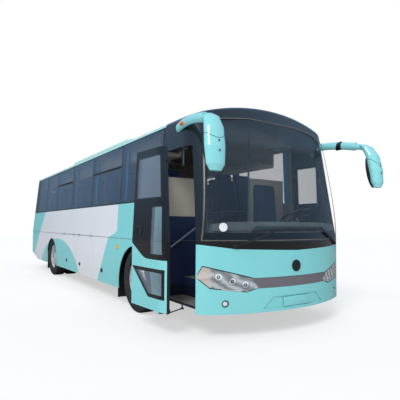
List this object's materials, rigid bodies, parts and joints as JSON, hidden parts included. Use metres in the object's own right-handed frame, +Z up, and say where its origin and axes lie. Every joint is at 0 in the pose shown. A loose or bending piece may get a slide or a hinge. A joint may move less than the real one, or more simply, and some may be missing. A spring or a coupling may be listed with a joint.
{
  "type": "single-decker city bus",
  "caption": "Single-door bus with a curved front, side window bands, luggage hatches, a hinged passenger door, steering and rolling wheels and a furnished cabin.",
  "frame": {"origin": "on the ground, under the middle of the bus's overall length and width", "axes": "-Y is the front of the bus, +Y the rear, -X the door side, +X the driver's side, +Z up"},
  "size_m": [3.0998, 10.044, 2.9349],
  "materials": {
    "mint_paint": "gloss mint paint",
    "white_paint": "gloss white paint",
    "black_gloss": "gloss black paint",
    "window_glass": "tinted glass",
    "lamp_glass": "clear lamp cover",
    "grey_plastic": "moulded grey plastic",
    "black_plastic": "moulded black plastic",
    "mirror_shell": "painted plastic shell",
    "seat_fabric": "woven seat fabric",
    "curtain_fabric": "pleated curtain fabric",
    "cabin_panel": "laminated cabin panel",
    "floor_sheet": "ribbed floor covering",
    "rail_steel": "satin handrail",
    "frame_steel": "black chassis paint",
    "cast_steel": "cast axle parts",
    "wheel_steel": "silver wheel paint",
    "tyre_rubber": "tyre rubber",
    "flap_rubber": "black rubber sheet",
    "bay_sheet": "aluminium sheet"
  },
  "bodies": {
    "bus_body": {"windscreen": "window_glass", "front_surround": "black_gloss", "front_panel": "mint_paint", "front_bumper": "mint_paint", "headlamps": "lamp_glass", "grille_strip": "grey_plastic", "side_wall_left": "mint_paint", "side_wall_right": "mint_paint", "side_windows": "window_glass", "roof_shell": "white_paint", "rear_panel": "mint_paint", "small_lamps": "lamp_glass", "roof_air_unit": "white_paint", "mirrors": "mirror_shell", "wipers": "black_plastic", "cabin_floor": "floor_sheet", "entry_steps": "floor_sheet", "seats": "seat_fabric", "dashboard": "grey_plastic", "partitions": "cabin_panel", "cabin_rails": "rail_steel", "luggage_racks": "cabin_panel", "curtains": "curtain_fabric", "luggage_bay": "bay_sheet", "fuel_tank": "bay_sheet", "chassis_frame": "frame_steel", "floor_bearers": "frame_steel", "floor_posts": "frame_steel", "tow_brackets": "frame_steel", "air_springs": "flap_rubber", "front_axle": "cast_steel", "rear_axle": "cast_steel", "engine_block": "cast_steel", "mud_flaps": "flap_rubber", "hinge_pins": "rail_steel"},
    "knuckle_left": {"knuckle_left": "cast_steel"},
    "knuckle_right": {"knuckle_right": "cast_steel"},
    "tie_rod": {"tie_rod": "cast_steel"},
    "front_wheel_left": {"front_tyre_left": "tyre_rubber", "front_rim_left": "wheel_steel"},
    "front_wheel_right": {"front_tyre_right": "tyre_rubber", "front_rim_right": "wheel_steel"},
    "rear_wheel_left": {"rear_tyres_left": "tyre_rubber", "rear_rims_left": "wheel_steel"},
    "rear_wheel_right": {"rear_tyres_right": "tyre_rubber", "rear_rims_right": "wheel_steel"},
    "hatch_left_1": {"hatch_left_1": "mint_paint"},
    "hatch_left_2": {"hatch_left_2": "mint_paint"},
    "hatch_right_1": {"hatch_right_1": "mint_paint"},
    "hatch_right_2": {"hatch_right_2": "mint_paint"},
    "engine_lid": {"engine_lid": "mint_paint"},
    "steering_wheel": {"steering_wheel": "black_plastic"},
    "door_arms": {"door_arms": "cast_steel"},
    "passenger_door": {"passenger_door": "mint_paint", "door_windows": "window_glass"}
  },
  "joints": [
    {"name": "steer_left", "type": "hinge", "parent": "bus_body", "child": "knuckle_left", "pos_m": [0.985, -2.735, 0.478], "axis": [0, 0, 1], "range_deg": [-38, 38]},
    {"name": "steer_right", "type": "hinge", "parent": "bus_body", "child": "knuckle_right", "pos_m": [-0.985, -2.735, 0.478], "axis": [0, 0, 1], "range_deg": [-38, 38]},
    {"name": "tie_rod_end", "type": "hinge", "parent": "knuckle_left", "child": "tie_rod", "pos_m": [0.985, -2.545, 0.3685], "axis": [0, 0, 1], "range_deg": [-38, 38]},
    {"name": "steering_wheel_turn", "type": "hinge", "parent": "bus_body", "child": "steering_wheel", "pos_m": [0.72, -4.055, 1.43], "axis": [0, 0.4695, 0.8829], "range_deg": [-760, 760]},
    {"name": "front_wheel_left_spin", "type": "hinge", "parent": "knuckle_left", "child": "front_wheel_left", "pos_m": [1.105, -2.735, 0.478], "axis": [1, 0, 0], "continuous": true},
    {"name": "front_wheel_right_spin", "type": "hinge", "parent": "knuckle_right", "child": "front_wheel_right", "pos_m": [-1.105, -2.735, 0.478], "axis": [1, 0, 0], "continuous": true},
    {"name": "rear_wheel_left_spin", "type": "hinge", "parent": "bus_body", "child": "rear_wheel_left", "pos_m": [0.95, 2.315, 0.478], "axis": [1, 0, 0], "continuous": true},
    {"name": "rear_wheel_right_spin", "type": "hinge", "parent": "bus_body", "child": "rear_wheel_right", "pos_m": [-0.95, 2.315, 0.478], "axis": [1, 0, 0], "continuous": true},
    {"name": "engine_lid_hinge", "type": "hinge", "parent": "bus_body", "child": "engine_lid", "pos_m": [0, 5.041, 1.088], "axis": [1, 0, 0], "range_deg": [0, 70]},
    {"name": "door_arm_swing", "type": "hinge", "parent": "bus_body", "child": "door_arms", "pos_m": [-1.11, -3.844, 0.253], "axis": [0, 0, 1], "range_deg": [-60, 60]},
    {"name": "door_leaf_turn", "type": "hinge", "parent": "door_arms", "child": "passenger_door", "pos_m": [-1.39799, -3.98718, 0.253], "axis": [0, 0, 1], "range_deg": [-63.31, 63.31]},
    {"name": "hatch_left_1_hinge", "type": "hinge", "parent": "bus_body", "child": "hatch_left_1", "pos_m": [1.284, -0.392, 1.08], "axis": [0, -1, 0], "range_deg": [0, 85]},
    {"name": "hatch_left_2_hinge", "type": "hinge", "parent": "bus_body", "child": "hatch_left_2", "pos_m": [1.284, 0.722, 1.08], "axis": [0, -1, 0], "range_deg": [0, 85]},
    {"name": "hatch_right_1_hinge", "type": "hinge", "parent": "bus_body", "child": "hatch_right_1", "pos_m": [-1.284, -0.392, 1.08], "axis": [0, 1, 0], "range_deg": [0, 85]},
    {"name": "hatch_right_2_hinge", "type": "hinge", "parent": "bus_body", "child": "hatch_right_2", "pos_m": [-1.284, 0.722, 1.08], "axis": [0, 1, 0], "range_deg": [0, 85]}
  ],
  "couplings": [
    {"joint": "steer_right", "follows": "steer_left", "ratio": 1},
    {"joint": "tie_rod_end", "follows": "steer_left", "ratio": -1},
    {"joint": "steering_wheel_turn", "follows": "steer_left", "ratio": 20},
    {"joint": "door_leaf_turn", "follows": "door_arm_swing", "ratio": -1.055}
  ]
}
